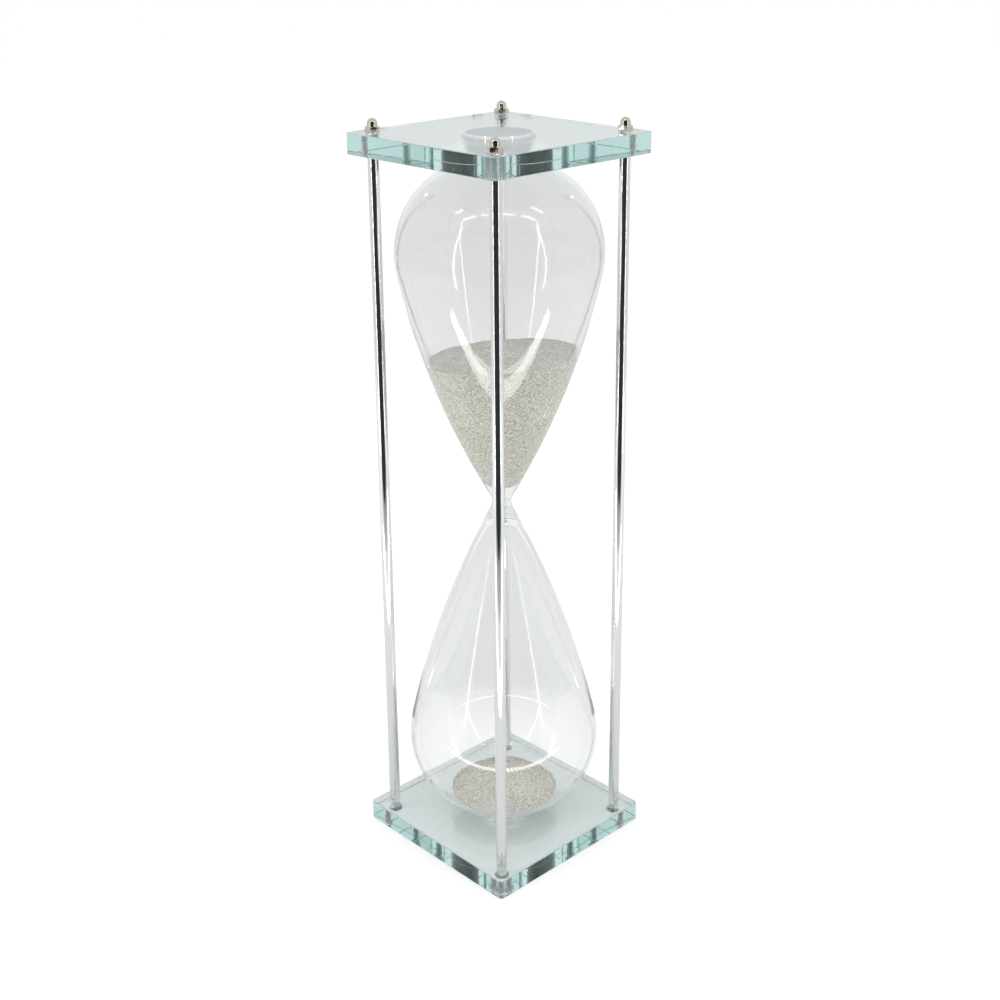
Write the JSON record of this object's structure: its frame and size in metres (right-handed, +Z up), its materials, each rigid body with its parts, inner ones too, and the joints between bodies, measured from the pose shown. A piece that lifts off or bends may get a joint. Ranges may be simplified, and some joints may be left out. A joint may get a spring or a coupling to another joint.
{
  "type": "hourglass",
  "caption": "Table-top hourglass: a blown glass bulb part filled with pale sand, held between square glass plates by chromed corner rods with acorn nuts.",
  "frame": {"origin": "centre of the underside of the bottom plate", "axes": "+Z up along the bulb's axis; X and Y along the sides of the square plates"},
  "size_m": [0.11, 0.11, 0.4072],
  "materials": {
    "plate_glass": "polished float glass, pale green at the edges",
    "bulb_glass": "blown clear glass",
    "rod_chrome": "bright chrome plate on steel",
    "nut_nickel": "bright nickel plate on brass",
    "screw_steel": "plain stainless steel",
    "stopper_silicone": "clear grey silicone, smooth moulded",
    "sand": "fine washed sand, matt"
  },
  "bodies": {
    "root": {"top_plate": "plate_glass", "bottom_plate": "plate_glass", "rod_front_left": "rod_chrome", "rod_front_right": "rod_chrome", "rod_back_right": "rod_chrome", "rod_back_left": "rod_chrome", "acorn_nut_front_left": "nut_nickel", "acorn_nut_front_right": "nut_nickel", "acorn_nut_back_right": "nut_nickel", "acorn_nut_back_left": "nut_nickel", "plate_screw_front_left": "screw_steel", "plate_screw_front_right": "screw_steel", "plate_screw_back_right": "screw_steel", "plate_screw_back_left": "screw_steel", "glass_bulb": "bulb_glass", "top_stopper": "stopper_silicone", "bottom_stopper": "stopper_silicone", "upper_sand": "sand", "lower_sand": "sand", "falling_sand": "sand"}
  },
  "joints": []
}
